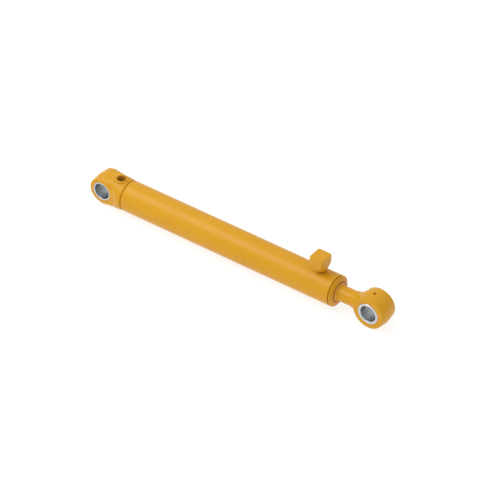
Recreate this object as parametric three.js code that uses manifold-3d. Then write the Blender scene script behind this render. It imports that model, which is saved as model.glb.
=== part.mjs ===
// Double-acting hydraulic cylinder: welded barrel, screwed gland and a bushed eye at each end.
// Millimetres. The origin is the centre of the rear pin bore, +X runs towards the rod eye,
// +Y runs along the pins and +Z is the side of the two oil ports. The rod is fully in.
import * as THREE from "three";
import { mergeVertices } from "three/addons/utils/BufferGeometryUtils.js";
import Module from "manifold-3d";

const wasm = await Module();
wasm.setup();

// Driving dimensions
const BARREL_RADIUS = 30;
const BORE_RADIUS = 25;
const ROD_RADIUS = 15;
const PIN_TO_PIN = 598;
const STROKE = 350;
const PIN_BORE_RADIUS = 16;
const EYE_HALF_WIDTH = 21;
const PORT_RADIUS = 8.6;
const PORT_DEPTH = 17;
const PASSAGE_RADIUS = 4;

// Clearances
const FIT_GAP = 0.1;
const CUT_GAP = 0.3;

// Barrel stations along X
const CAP_END = 47.8;
const SEAM_WIDTH = 3.2;
const TUBE_START = CAP_END + SEAM_WIDTH;
const TUBE_END = 515.6;
const SPIGOT_END = 61;

// Base eye
const BASE_EYE_RADIUS = 28.4;
const BASE_EYE_FACE_RADIUS = 26.8;
const BASE_BUSHING_RADIUS = 19;
const BASE_PORT_X = 31.3;
const BASE_PORT_TOP = 32.3;
const BASE_BOSS_RADIUS = 12;
const BASE_BOSS_FOOT_RADIUS = 14.2;

// Head port block
const HEAD_PORT_X = 479.8;
const HEAD_PORT_Z = 52.4;
const BLOCK_HALF_X = 14.7;
const BLOCK_HALF_Y = 15.6;
const BLOCK_TOP = 63.8;
const BLOCK_CORNER_REACH = 20;
const BLOCK_CONE_TOP = 49.4;
const BLOCK_CONE_START = 33.2;
const BLOCK_CONE_RADIUS = 11.2;
const BLOCK_STUB_START = BARREL_RADIUS - 4;
const BLOCK_STUB_RADIUS = 7.5;

// Piston group, rod fully in
const NUT_START = 63;
const PISTON_START = 77;
const PISTON_LENGTH = 35;
const PISTON_RADIUS = 24.6;
const PISTON_SPIGOT_RADIUS = 10;
const ROD_SHOULDER = PISTON_START + PISTON_LENGTH + FIT_GAP;

// Gland: the piston stops just short of its nose when the rod is fully out
const GLAND_START = PISTON_START + PISTON_LENGTH + STROKE + 5.2;
const GLAND_BORE_RADIUS = ROD_RADIUS + 0.6;
const GLAND_RADIUS = BORE_RADIUS - FIT_GAP;

// Rod eye
const ROD_END = 559.7;
const ROD_EYE_RADIUS = 34;
const ROD_EYE_FACE_RADIUS = 30.8;
const ROD_BUSHING_RADIUS = 21;
const GREASE_HOLE_RADIUS = 2.8;

const SIDES = 36;

const FINISHES = {
  yellow_paint: { color: 0xdca328, roughness: 0.45, metalness: 0 },
  bushing_steel: { color: 0xc8d0dc, roughness: 0.3, metalness: 1 },
  rod_chrome: { color: 0xc4c5c8, roughness: 0.12, metalness: 1 },
  machined_steel: { color: 0x9a9da1, roughness: 0.35, metalness: 1 },
  wiper_rubber: { color: 0x6b2430, roughness: 0.6, metalness: 0 },
  seal_rubber: { color: 0x1c1c1e, roughness: 0.7, metalness: 0 },
  seal_urethane: { color: 0x2b5f9e, roughness: 0.5, metalness: 0 },
  guide_plastic: { color: 0x8a5a33, roughness: 0.6, metalness: 0 },
};

// ---- Making and joining solids -------------------------------------------------------------

// A turned body from [along, radius] points that run forwards outside and back inside.
function turned(points, axis = "x") {
  const outline = points.map(([along, radius]) => new THREE.Vector2(radius, along));
  if (points[0][1] > 0) outline.push(outline[0].clone());
  const geometry = new THREE.LatheGeometry(outline, SIDES);
  if (axis === "x") geometry.rotateZ(-Math.PI / 2);
  if (axis === "z") geometry.rotateX(Math.PI / 2);
  return geometry;
}

// A plain round bar between two stations on its axis.
function bar(from, to, radius, axis) {
  return turned([[from, 0], [from, radius], [to, radius], [to, 0]], axis);
}

// A ring of rectangular section between two stations on its axis.
function ring(from, to, inner, outer, axis) {
  return turned([[from, inner], [from, outer], [to, outer], [to, inner]], axis);
}

// A round-section ring about X.
function roundRing(x, middle, radius, steps = 6) {
  const points = [];
  for (let i = 0; i < steps; i++) {
    const turn = Math.PI - (2 * Math.PI * (i + 0.5)) / steps;
    points.push([x + radius * Math.cos(turn), middle + radius * Math.sin(turn)]);
  }
  return turned(points);
}

function solid(geometry) {
  const bare = geometry.clone();
  bare.deleteAttribute("normal");
  bare.deleteAttribute("uv");
  const merged = mergeVertices(bare, 1e-4);
  return new wasm.Manifold(
    new wasm.Mesh({
      numProp: 3,
      vertProperties: merged.attributes.position.array,
      triVerts: new Uint32Array(merged.index.array),
    }),
  );
}

function geometryOf(body) {
  const { vertProperties, triVerts } = body.getMesh();
  const geometry = new THREE.BufferGeometry();
  geometry.setAttribute("position", new THREE.BufferAttribute(vertProperties, 3));
  geometry.setIndex(new THREE.BufferAttribute(triVerts, 1));
  geometry.computeVertexNormals();
  return geometry;
}

// The common part of several geometries, as a solid.
function common(...geometries) {
  return geometries.map(solid).reduce((kept, next) => kept.intersect(next));
}

// A solid with each of the given geometries cut away.
function cutAway(body, ...cutters) {
  return cutters.map(solid).reduce((left, cutter) => left.subtract(cutter), body);
}

function part(name, finish, geometry) {
  const mesh = new THREE.Mesh(geometry, new THREE.MeshStandardMaterial(FINISHES[finish]));
  mesh.name = name;
  return mesh;
}

// ---- Shapes used by both ends --------------------------------------------------------------

// A forged eye about Y: a parting ridge round the middle and drafted sides down to flat faces.
function forgedEye(ridgeRadius, faceRadius) {
  const ridge = 2;
  const edge = 1.5;
  const half = [
    [EYE_HALF_WIDTH, 0],
    [EYE_HALF_WIDTH, faceRadius - edge],
    [EYE_HALF_WIDTH - edge, faceRadius + 0.2],
    [ridge, ridgeRadius],
  ];
  const otherHalf = half.map(([along, radius]) => [-along, radius]);
  return turned([...otherHalf, ...half.reverse()], "y");
}

// A bushing stands a little proud of the eye's faces, with its bore chamfered at both ends.
function eyeBushing(outerRadius) {
  const end = EYE_HALF_WIDTH + 0.3;
  const chamfer = 0.8;
  return turned(
    [
      [chamfer - end, PIN_BORE_RADIUS],
      [-end, PIN_BORE_RADIUS + chamfer],
      [-end, outerRadius],
      [end, outerRadius],
      [end, PIN_BORE_RADIUS + chamfer],
      [end - chamfer, PIN_BORE_RADIUS],
    ],
    "y",
  );
}

function eyeBore(bushingRadius) {
  return bar(-BARREL_RADIUS, BARREL_RADIUS, bushingRadius + FIT_GAP, "y");
}

// ---- Barrel group --------------------------------------------------------------------------

// The neck grows from half the width at the eye to the full radius of the barrel.
function neckOutline(startHalf, endHalf, curveStart, curveEnd) {
  const middle = (curveStart + curveEnd) / 2;
  const outline = new THREE.Shape();
  outline.moveTo(0, -startHalf);
  outline.lineTo(curveStart, -startHalf);
  outline.bezierCurveTo(middle, -startHalf, middle, -endHalf, curveEnd, -endHalf);
  outline.lineTo(CAP_END, -endHalf);
  outline.lineTo(CAP_END, endHalf);
  outline.lineTo(curveEnd, endHalf);
  outline.bezierCurveTo(middle, endHalf, middle, startHalf, curveStart, startHalf);
  outline.lineTo(0, startHalf);
  return outline;
}

function neckPrism(outline) {
  const depth = 2 * BARREL_RADIUS + 4;
  const prism = new THREE.ExtrudeGeometry(outline, { depth, bevelEnabled: false, curveSegments: 6 });
  return prism.translate(0, 0, -depth / 2);
}

function baseCap() {
  const wide = BARREL_RADIUS + 1;
  const plan = neckPrism(neckOutline(EYE_HALF_WIDTH, wide, 8, 40));
  const side = neckPrism(neckOutline(BASE_EYE_RADIUS, wide, 0, 30)).rotateX(Math.PI / 2);
  const neck = common(bar(1, CAP_END, BARREL_RADIUS, "x"), plan, side);
  const spigot = turned([
    [CAP_END - 5, 0],
    [CAP_END - 5, BORE_RADIUS - 0.2],
    [SPIGOT_END - 1, BORE_RADIUS - 0.2],
    [SPIGOT_END, BORE_RADIUS - 1.2],
    [SPIGOT_END, 0],
  ]);
  const boss = turned(
    [
      [BARREL_RADIUS - 12, 0],
      [BARREL_RADIUS - 12, BASE_BOSS_FOOT_RADIUS],
      [BASE_PORT_TOP - 3.2, BASE_BOSS_FOOT_RADIUS],
      [BASE_PORT_TOP - 0.6, BASE_BOSS_RADIUS],
      [BASE_PORT_TOP, BASE_BOSS_RADIUS - 0.6],
      [BASE_PORT_TOP, 0],
    ],
    "z",
  ).translate(BASE_PORT_X, 0, 0);
  const threadFloor = BASE_PORT_TOP - PORT_DEPTH;
  return geometryOf(
    cutAway(
      solid(forgedEye(BASE_EYE_RADIUS, BASE_EYE_FACE_RADIUS)).add(neck).add(solid(spigot)).add(solid(boss)),
      eyeBore(BASE_BUSHING_RADIUS),
      bar(threadFloor, BASE_PORT_TOP + 1, PORT_RADIUS, "z").translate(BASE_PORT_X, 0, 0),
      bar(0, threadFloor + 1, PASSAGE_RADIUS, "z").translate(BASE_PORT_X, 0, 0),
      bar(BASE_PORT_X, SPIGOT_END + 1, PASSAGE_RADIUS, "x"),
    ),
  );
}

function barrelTube() {
  const chamfer = 0.6;
  const tube = turned([
    [TUBE_START, BORE_RADIUS],
    [TUBE_START, BARREL_RADIUS - chamfer],
    [TUBE_START + chamfer, BARREL_RADIUS],
    [TUBE_END - chamfer, BARREL_RADIUS],
    [TUBE_END, BARREL_RADIUS - chamfer],
    [TUBE_END, BORE_RADIUS],
  ]);
  const portPassage = bar(BORE_RADIUS - 5, BARREL_RADIUS + 1, PASSAGE_RADIUS, "z");
  return geometryOf(cutAway(solid(tube), portPassage.translate(HEAD_PORT_X, 0, 0)));
}

// The block's blank is turned: a stub, then a cone that widens up to the corners of the square.
function blockBlank(extra = 0) {
  const topChamfer = 1.2;
  return turned(
    [
      [BLOCK_STUB_START, 0],
      [BLOCK_STUB_START, BLOCK_STUB_RADIUS + extra],
      [BLOCK_CONE_START, BLOCK_STUB_RADIUS + extra],
      [BLOCK_CONE_START, BLOCK_CONE_RADIUS + extra],
      [BLOCK_CONE_TOP, BLOCK_CORNER_REACH + extra],
      [BLOCK_TOP - topChamfer, BLOCK_CORNER_REACH + extra],
      [BLOCK_TOP, BLOCK_CORNER_REACH - 1.5 * topChamfer + extra],
      [BLOCK_TOP, 0],
    ],
    "z",
  );
}

// A bar along the barrel that cuts a saddle in whatever stands on it.
function saddleCut() {
  return bar(-2 * BLOCK_HALF_Y, 2 * BLOCK_HALF_Y, BARREL_RADIUS + CUT_GAP, "x");
}

function headPortBlock() {
  const height = BLOCK_TOP - BLOCK_STUB_START;
  const square = new THREE.BoxGeometry(2 * BLOCK_HALF_X, 2 * BLOCK_HALF_Y, height);
  const body = cutAway(
    common(square.translate(0, 0, BLOCK_STUB_START + height / 2), blockBlank()),
    bar(-BLOCK_HALF_X - 1, PORT_DEPTH - BLOCK_HALF_X, PORT_RADIUS, "x").translate(0, 0, HEAD_PORT_Z),
    bar(BLOCK_STUB_START - 1, HEAD_PORT_Z, PASSAGE_RADIUS, "z"),
    saddleCut(),
  );
  return geometryOf(body).translate(HEAD_PORT_X, 0, 0);
}

// A weld round the stub, between the barrel and the underside of the cone.
function headPortWeld() {
  const bead = bar(BLOCK_STUB_START, BLOCK_CONE_START - CUT_GAP, BLOCK_STUB_RADIUS + 2.2, "z");
  return geometryOf(cutAway(solid(bead), saddleCut(), blockBlank(CUT_GAP))).translate(HEAD_PORT_X, 0, 0);
}

// Grooves in the gland's bore, as start, end and floor radius.
const GUIDE_GROOVES = [
  [GLAND_START + 3, GLAND_START + 13, ROD_RADIUS + 2.6],
  [GLAND_START + 15, GLAND_START + 25, ROD_RADIUS + 2.6],
];
const BUFFER_GROOVE = [GLAND_START + 28.5, GLAND_START + 33, ROD_RADIUS + 4.4];
const ROD_SEAL_GROOVE = [GLAND_START + 38, GLAND_START + 44, ROD_RADIUS + 4.9];
const WIPER_GROOVE = [GLAND_START + 49.5, GLAND_START + 55.2, ROD_RADIUS + 4.6];
const GLAND_FACE = WIPER_GROOVE[1];

// The gland's outer groove holds an O-ring and its back-up ring.
const GLAND_OUTER_GROOVE = [GLAND_START + 29, GLAND_START + 35, BORE_RADIUS - 2.8];

function groove([start, end, floor], mouth) {
  return [[end, mouth], [end, floor], [start, floor], [start, mouth]];
}

function gland() {
  const noseRadius = 21.5;
  const collarStart = GLAND_START + 24;
  const flangeStart = TUBE_END + 2.2;
  const flangeRadius = BARREL_RADIUS - 0.2;
  const [outerStart, outerEnd, outerFloor] = GLAND_OUTER_GROOVE;
  const [wiperStart, , wiperFloor] = WIPER_GROOVE;
  return turned([
    [GLAND_START, GLAND_BORE_RADIUS],
    [GLAND_START, noseRadius - 1],
    [GLAND_START + 1, noseRadius],
    [collarStart, noseRadius],
    [collarStart, GLAND_RADIUS],
    [outerStart, GLAND_RADIUS],
    [outerStart, outerFloor],
    [outerEnd, outerFloor],
    [outerEnd, GLAND_RADIUS],
    [TUBE_END + FIT_GAP, GLAND_RADIUS],
    [TUBE_END + FIT_GAP, BARREL_RADIUS - 2.2],
    [flangeStart, BARREL_RADIUS - 2.2],
    [flangeStart, flangeRadius],
    [flangeStart + 1.3, flangeRadius],
    [flangeStart + 1.9, flangeRadius - 0.7],
    [GLAND_FACE - 0.8, wiperFloor + 2.4],
    [GLAND_FACE, wiperFloor + 1.6],
    [GLAND_FACE, wiperFloor],
    [wiperStart, wiperFloor],
    [wiperStart, GLAND_BORE_RADIUS],
    ...groove(ROD_SEAL_GROOVE, GLAND_BORE_RADIUS),
    ...groove(BUFFER_GROOVE, GLAND_BORE_RADIUS),
    ...GUIDE_GROOVES.toReversed().flatMap((each) => groove(each, GLAND_BORE_RADIUS)),
  ]);
}

// A ring that fills a bore groove down to the rod.
function rodRing([start, end, floor]) {
  return ring(start + FIT_GAP, end - FIT_GAP, ROD_RADIUS + FIT_GAP, floor - FIT_GAP);
}

// A lip seal: a groove in its pressure side parts the two lips.
function rodSeal([start, end, floor]) {
  const inner = ROD_RADIUS + FIT_GAP;
  const outer = floor - FIT_GAP;
  const middle = (inner + outer) / 2;
  return turned([
    [start + FIT_GAP, inner],
    [start + FIT_GAP, middle - 0.9],
    [start + 2.5, middle],
    [start + FIT_GAP, middle + 0.9],
    [start + FIT_GAP, outer],
    [end - FIT_GAP, outer],
    [end - FIT_GAP, inner],
  ]);
}

// The wiper's lip leans forward out of the gland's face.
function wiperSeal() {
  const [start, end, floor] = WIPER_GROOVE;
  const inner = ROD_RADIUS + FIT_GAP;
  return turned([
    [start + FIT_GAP, inner + 0.8],
    [start + FIT_GAP, floor - FIT_GAP],
    [end + 0.2, floor - FIT_GAP],
    [end + 0.2, floor - 1.4],
    [end + 2.9, inner + 1.7],
    [end + 3.2, inner + 1.2],
    [end + 3.2, inner],
    [end - 1, inner],
  ]);
}

function barrelGroup() {
  const group = new THREE.Group();
  const [outerStart, outerEnd, outerFloor] = GLAND_OUTER_GROOVE;
  const oRingRadius = (GLAND_RADIUS - outerFloor) / 2;
  const weldGap = 0.2;
  const weld = ring(CAP_END + weldGap, TUBE_START - weldGap, BORE_RADIUS, BARREL_RADIUS - 2.4);
  const backup = ring(outerEnd - 1.6, outerEnd - FIT_GAP, outerFloor + FIT_GAP, GLAND_RADIUS);
  group.add(
    part("barrel_tube", "yellow_paint", barrelTube()),
    part("base_cap", "yellow_paint", baseCap()),
    part("base_weld", "yellow_paint", weld),
    part("base_eye_bushing", "bushing_steel", eyeBushing(BASE_BUSHING_RADIUS)),
    part("head_port_block", "yellow_paint", headPortBlock()),
    part("head_port_weld", "yellow_paint", headPortWeld()),
    part("gland", "yellow_paint", gland()),
    part("gland_o_ring", "seal_rubber", roundRing(outerStart + 2, outerFloor + oRingRadius, oRingRadius)),
    part("gland_backup_ring", "guide_plastic", backup),
    part("rod_seal", "seal_urethane", rodSeal(ROD_SEAL_GROOVE)),
    part("buffer_seal", "seal_urethane", rodSeal(BUFFER_GROOVE)),
    part("rod_guide_ring_rear", "guide_plastic", rodRing(GUIDE_GROOVES[0])),
    part("rod_guide_ring_front", "guide_plastic", rodRing(GUIDE_GROOVES[1])),
    part("wiper_seal", "wiper_rubber", wiperSeal()),
  );
  return group;
}

// ---- Piston group --------------------------------------------------------------------------

// Grooves round the piston, as start, end and floor radius.
const WEAR_GROOVES = [
  [PISTON_START + 3, PISTON_START + 11, PISTON_RADIUS - 2.3],
  [PISTON_START + 24, PISTON_START + 32, PISTON_RADIUS - 2.3],
];
const PISTON_SEAL_GROOVE = [PISTON_START + 14, PISTON_START + 21, PISTON_RADIUS - 5];
const PISTON_BORE_RADIUS = PISTON_SPIGOT_RADIUS + FIT_GAP;
const PISTON_STATIC_GROOVE = [PISTON_START + 16, PISTON_START + 19, PISTON_BORE_RADIUS + 1.8];

function piston() {
  const end = PISTON_START + PISTON_LENGTH;
  const outerGrooves = [WEAR_GROOVES[0], PISTON_SEAL_GROOVE, WEAR_GROOVES[1]];
  return turned([
    [PISTON_START, PISTON_BORE_RADIUS],
    [PISTON_START, PISTON_RADIUS - 1],
    [PISTON_START + 1, PISTON_RADIUS],
    ...outerGrooves.flatMap((each) => groove(each, PISTON_RADIUS).reverse()),
    [end - 1, PISTON_RADIUS],
    [end, PISTON_RADIUS - 1],
    [end, PISTON_BORE_RADIUS],
    ...groove(PISTON_STATIC_GROOVE, PISTON_BORE_RADIUS),
  ]);
}

function pistonWearRing([start, end, floor]) {
  return ring(start + FIT_GAP, end - FIT_GAP, floor + FIT_GAP, BORE_RADIUS - FIT_GAP);
}

// A hexagon nut with its corners turned off, on the threaded end of the rod.
function pistonNut() {
  const end = PISTON_START - 0.2;
  const acrossFlats = 30;
  const corner = acrossFlats / Math.sqrt(3);
  const hexagon = new THREE.CylinderGeometry(corner, corner, end - NUT_START, 6);
  hexagon.rotateZ(-Math.PI / 2).translate((NUT_START + end) / 2, 0, 0);
  const blank = turned([
    [NUT_START, 0],
    [NUT_START, corner - 2],
    [NUT_START + 1.2, corner],
    [end, corner],
    [end, 0],
  ]);
  return geometryOf(cutAway(common(hexagon, blank), bar(NUT_START - 1, end + 1, PISTON_BORE_RADIUS, "x")));
}

function sealGroup() {
  const group = new THREE.Group();
  const [start, end, floor] = PISTON_SEAL_GROOVE;
  const energiserRadius = 1.2;
  const seal = ring(start + CUT_GAP, end - CUT_GAP, floor + 2.7, BORE_RADIUS - FIT_GAP);
  const energiser = roundRing((start + end) / 2, floor + energiserRadius + FIT_GAP, energiserRadius);
  group.add(
    part("piston_wear_ring_rear", "guide_plastic", pistonWearRing(WEAR_GROOVES[0])),
    part("piston_wear_ring_front", "guide_plastic", pistonWearRing(WEAR_GROOVES[1])),
    part("piston_seal", "seal_urethane", seal),
    part("piston_seal_energiser", "seal_rubber", energiser),
  );
  return group;
}

// ---- Rod group -----------------------------------------------------------------------------

function pistonRod() {
  return turned([
    [NUT_START - 0.8, 0],
    [NUT_START - 0.8, PISTON_SPIGOT_RADIUS - 1],
    [NUT_START + 0.2, PISTON_SPIGOT_RADIUS],
    [ROD_SHOULDER, PISTON_SPIGOT_RADIUS],
    [ROD_SHOULDER, ROD_RADIUS - 1.5],
    [ROD_SHOULDER + 1.5, ROD_RADIUS],
    [ROD_END, ROD_RADIUS],
    [ROD_END, 0],
  ]);
}

// A bead round the end of the rod, against the stub of the eye.
function rodWeld() {
  return turned([
    [ROD_END - 5, ROD_RADIUS + FIT_GAP],
    [ROD_END - 4, ROD_RADIUS + 1],
    [ROD_END - 2, ROD_RADIUS + 1.7],
    [ROD_END, ROD_RADIUS + 1.7],
    [ROD_END, ROD_RADIUS + FIT_GAP],
  ]);
}

function rodEye() {
  const stub = turned([
    [-38, 0],
    [-38, ROD_RADIUS + 1.6],
    [-33, ROD_RADIUS + 2.2],
    [-28, ROD_RADIUS + 4],
    [-25, EYE_HALF_WIDTH - 0.5],
    [-25, 0],
  ]);
  return geometryOf(
    cutAway(
      solid(forgedEye(ROD_EYE_RADIUS, ROD_EYE_FACE_RADIUS)).add(solid(stub)),
      eyeBore(ROD_BUSHING_RADIUS),
      bar(0, ROD_EYE_RADIUS + 1, GREASE_HOLE_RADIUS, "z"),
    ),
  );
}

function rodEyeBushing() {
  const greaseHole = bar(0, ROD_BUSHING_RADIUS + 1, GREASE_HOLE_RADIUS / 2, "z");
  return geometryOf(cutAway(solid(eyeBushing(ROD_BUSHING_RADIUS)), greaseHole));
}

function rodGroup() {
  const group = new THREE.Group();
  const oRingRadius = 0.75;
  const oRingX = (PISTON_STATIC_GROOVE[0] + PISTON_STATIC_GROOVE[1]) / 2;
  const oRing = roundRing(oRingX, PISTON_BORE_RADIUS + oRingRadius + FIT_GAP, oRingRadius);
  const eye = new THREE.Group();
  eye.position.x = PIN_TO_PIN;
  eye.add(
    part("rod_eye", "yellow_paint", rodEye()),
    part("rod_eye_bushing", "bushing_steel", rodEyeBushing()),
  );
  group.add(
    part("rod", "rod_chrome", pistonRod()),
    part("piston", "machined_steel", piston()),
    part("piston_o_ring", "seal_rubber", oRing),
    part("piston_nut", "machined_steel", pistonNut()),
    part("rod_weld", "yellow_paint", rodWeld()),
    eye,
  );
  return group;
}

const cylinder = new THREE.Group();
cylinder.add(barrelGroup(), sealGroup(), rodGroup());

export default cylinder;
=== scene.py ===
"""The looks of a double-acting hydraulic cylinder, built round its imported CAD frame.

Everything is in metres in the part's own frame: the rear pin's centre is the origin, +X runs along the
barrel towards the rod eye, +Y along the pins and +Z to the side of the oil ports.
"""
import math

import bmesh
import bpy
import numpy as np
from mathutils import Matrix, Vector


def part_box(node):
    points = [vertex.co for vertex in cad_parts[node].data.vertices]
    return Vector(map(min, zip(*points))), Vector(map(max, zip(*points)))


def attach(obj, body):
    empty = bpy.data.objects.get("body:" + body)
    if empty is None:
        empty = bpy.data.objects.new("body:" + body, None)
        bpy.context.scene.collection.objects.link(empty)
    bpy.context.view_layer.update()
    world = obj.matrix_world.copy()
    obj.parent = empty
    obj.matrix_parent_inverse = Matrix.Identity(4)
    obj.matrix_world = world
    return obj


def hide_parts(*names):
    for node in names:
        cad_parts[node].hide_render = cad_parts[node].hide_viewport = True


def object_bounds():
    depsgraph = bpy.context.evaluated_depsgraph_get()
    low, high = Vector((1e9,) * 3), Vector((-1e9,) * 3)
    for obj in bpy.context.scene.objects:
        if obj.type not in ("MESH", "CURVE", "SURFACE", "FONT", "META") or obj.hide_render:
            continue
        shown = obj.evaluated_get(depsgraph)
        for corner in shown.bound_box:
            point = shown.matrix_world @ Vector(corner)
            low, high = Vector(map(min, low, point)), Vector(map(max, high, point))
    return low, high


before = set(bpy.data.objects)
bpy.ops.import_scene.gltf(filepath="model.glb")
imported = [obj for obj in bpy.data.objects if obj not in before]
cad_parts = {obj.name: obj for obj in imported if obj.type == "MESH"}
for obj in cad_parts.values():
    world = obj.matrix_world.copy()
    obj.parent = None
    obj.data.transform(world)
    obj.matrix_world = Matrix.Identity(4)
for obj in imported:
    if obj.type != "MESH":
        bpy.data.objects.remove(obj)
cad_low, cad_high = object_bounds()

MM = 0.001
TAU = 2 * math.pi
BARREL_WALL = 5 * MM


# ---- Sizes read from the frame -----------------------------------------------------------------

tube_low, tube_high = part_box("barrel_tube")
cap_low, cap_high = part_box("base_cap")
seam_low, seam_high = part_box("base_weld")
block_low, block_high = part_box("head_port_block")
_, weld_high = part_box("head_port_weld")
gland_low, gland_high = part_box("gland")
wiper_low, wiper_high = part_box("wiper_seal")
rod_low, rod_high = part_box("rod")
rod_weld_low, rod_weld_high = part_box("rod_weld")
eye_low, eye_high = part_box("rod_eye")
base_bush_low, base_bush_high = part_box("base_eye_bushing")
rod_bush_low, rod_bush_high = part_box("rod_eye_bushing")

BARREL_RADIUS = tube_high.z
BORE_RADIUS = BARREL_RADIUS - BARREL_WALL
ROD_RADIUS = rod_high.z
SHOULDER_X = seam_low.x - 0.2 * MM  # the end of the base cap that faces the tube
BASE_EYE_RADIUS = -cap_low.x
PORT_TOP_Z = cap_high.z
ROD_PIN_X = (rod_bush_low.x + rod_bush_high.x) / 2
ROD_EYE_RADIUS = eye_high.z
BLOCK_X = (block_low.x + block_high.x) / 2
BLOCK_HALF_X = (block_high.x - block_low.x) / 2
BLOCK_HALF_Y = block_high.y
BLOCK_TOP = block_high.z
GLAND_FLANGE_X = tube_high.x + 2.2 * MM
BLOCK_CONE_START = weld_high.z + 0.3 * MM
BLOCK_STUB_RADIUS = weld_high.y - 2.2 * MM

# Sizes that the frame's boxes don't tell
EYE_HALF_WIDTH = 21 * MM
PIN_BORE_RADIUS = 16 * MM
PORT_RADIUS = 8.6 * MM
PORT_DEPTH = 17 * MM
PASSAGE_RADIUS = 4 * MM
BASE_PORT_X = 31.3 * MM
BASE_BOSS_RADIUS = 11.4 * MM
BASE_BOSS_FOOT_RADIUS = 12.8 * MM
HEAD_PORT_Z = 52.4 * MM
BLOCK_CORNER_REACH = 19.7 * MM
BLOCK_CONE_TOP = 49.4 * MM
BLOCK_CONE_RADIUS = 11.2 * MM
BLOCK_STUB_START = BARREL_RADIUS - 4 * MM
THREAD_PITCH = 1.5875 * MM
GREASE_HOLE_RADIUS = 2.8 * MM
GLAND_NOSE_RADIUS = 21.5 * MM
GLAND_NOSE_LENGTH = 24 * MM
ROD_SPIGOT_RADIUS = 10 * MM
ROD_SHOULDER_X = 112.1 * MM  # where the rod steps down to the piston's spigot


# ---- Meshes ------------------------------------------------------------------------------------

SHARP_DEGREES = 32


def new_piece(name, vertices, faces, sharp_degrees=SHARP_DEGREES):
    """A mesh object, shaded smooth except across edges sharper than sharp_degrees."""
    mesh = bpy.data.meshes.new(name)
    mesh.from_pydata(np.asarray(vertices, float).tolist(), [], faces)
    mesh.update()
    mesh.shade_smooth()
    mesh.set_sharp_from_angle(angle=math.radians(sharp_degrees))
    piece = bpy.data.objects.new(name, mesh)
    bpy.context.scene.collection.objects.link(piece)
    return piece


def keep_flats_flat(piece):
    """Lets the large faces set the normals, so that small fillets don't shade across them."""
    weighted = piece.modifiers.new("weighted normals", "WEIGHTED_NORMAL")
    weighted.mode = "FACE_AREA_WITH_ANGLE"
    weighted.keep_sharp = True
    return piece


def rounded(corners, steps=5):
    """An outline of (along, radius) points from corners, some of which have a fillet as a third number."""
    points = [np.array(corner[:2], float) for corner in corners]
    fillets = [corner[2] if len(corner) > 2 else 0 for corner in corners]
    outline = []
    for i, (corner, fillet) in enumerate(zip(points, fillets)):
        before = points[i - 1] - corner
        after = points[(i + 1) % len(points)] - corner
        if not fillet:
            outline.append(corner)
            continue
        before /= np.linalg.norm(before)
        after /= np.linalg.norm(after)
        half = math.acos(np.clip(before @ after, -1, 1)) / 2
        reach = fillet / math.tan(half)
        between = (before + after) / np.linalg.norm(before + after)
        centre = corner + between * fillet / math.sin(half)
        start = corner + before * reach - centre
        end = corner + after * reach - centre
        sweep = math.acos(np.clip(start @ end / fillet**2, -1, 1))
        for k in range(steps + 1):
            share = k / steps
            turned_start = math.sin((1 - share) * sweep) * start
            turned_end = math.sin(share * sweep) * end
            outline.append(centre + (turned_start + turned_end) / math.sin(sweep))
    return outline


# For an axis, the index of its own coordinate and of the two across it
AXES = {"x": (0, 1, 2), "y": (1, 2, 0), "z": (2, 0, 1)}


def turned(name, outline, axis="x", centre=(0, 0, 0), sides=144):
    """A closed outline of (along, radius) points, turned about an axis through centre.

    The outline may start and end on the axis."""
    along_axis, first, second = AXES[axis]
    on_axis = outline[0][1] == 0
    ring_points = outline[1:-1] if on_axis else outline
    angles = np.arange(sides) * TAU / sides
    vertices = []
    for along, radius in ring_points:
        ring = np.zeros((sides, 3))
        ring[:, along_axis] = along
        ring[:, first] = radius * np.cos(angles)
        ring[:, second] = radius * np.sin(angles)
        vertices.append(ring)
    vertices = np.concatenate(vertices)
    count = len(ring_points)
    faces = []
    for i in range(count - 1 if on_axis else count):
        ring = i * sides
        next_ring = (i + 1) % count * sides
        for k in range(sides):
            n = (k + 1) % sides
            faces.append((ring + k, ring + n, next_ring + n, next_ring + k))
    if on_axis:
        faces.append(tuple(reversed(range(sides))))
        faces.append(tuple(range((count - 1) * sides, count * sides)))
    vertices += np.array(centre, float)
    piece = new_piece(name, vertices, faces)
    turn_outwards(piece)
    return piece


def turn_outwards(piece):
    """Flips every face if the closed mesh is inside out."""
    shape = bmesh.new()
    shape.from_mesh(piece.data)
    if shape.calc_volume(signed=True) < 0:
        bmesh.ops.reverse_faces(shape, faces=shape.faces)
    shape.to_mesh(piece.data)
    shape.free()


def cut(piece, *cutters):
    """Cuts closed pieces out of another and removes them."""
    for cutter in cutters:
        boolean = piece.modifiers.new("cut", "BOOLEAN")
        boolean.operation = "DIFFERENCE"
        boolean.solver = "EXACT"
        boolean.object = cutter
    bpy.context.view_layer.update()
    evaluated = piece.evaluated_get(bpy.context.evaluated_depsgraph_get())
    cut_mesh = bpy.data.meshes.new_from_object(evaluated)
    piece.modifiers.clear()
    piece.data = cut_mesh
    cut_mesh.shade_smooth()
    cut_mesh.set_sharp_from_angle(angle=math.radians(SHARP_DEGREES))
    for cutter in cutters:
        bpy.data.objects.remove(cutter)
    return piece


def smooth_max(a, b, blend):
    """The larger of two fields, with the edge between them rounded over about blend."""
    share = np.clip(0.5 + 0.5 * (a - b) / blend, 0, 1)
    return b + (a - b) * share + blend * share * (1 - share)


def smooth_min(a, b, blend):
    """The smaller of two fields, rounded over in the same way."""
    return -smooth_max(-a, -b, blend)


def eased(start, end, value):
    """0 before start and 1 after end, smoothly."""
    share = np.clip((value - start) / (end - start), 0, 1)
    return share * share * (3 - 2 * share)


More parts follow.
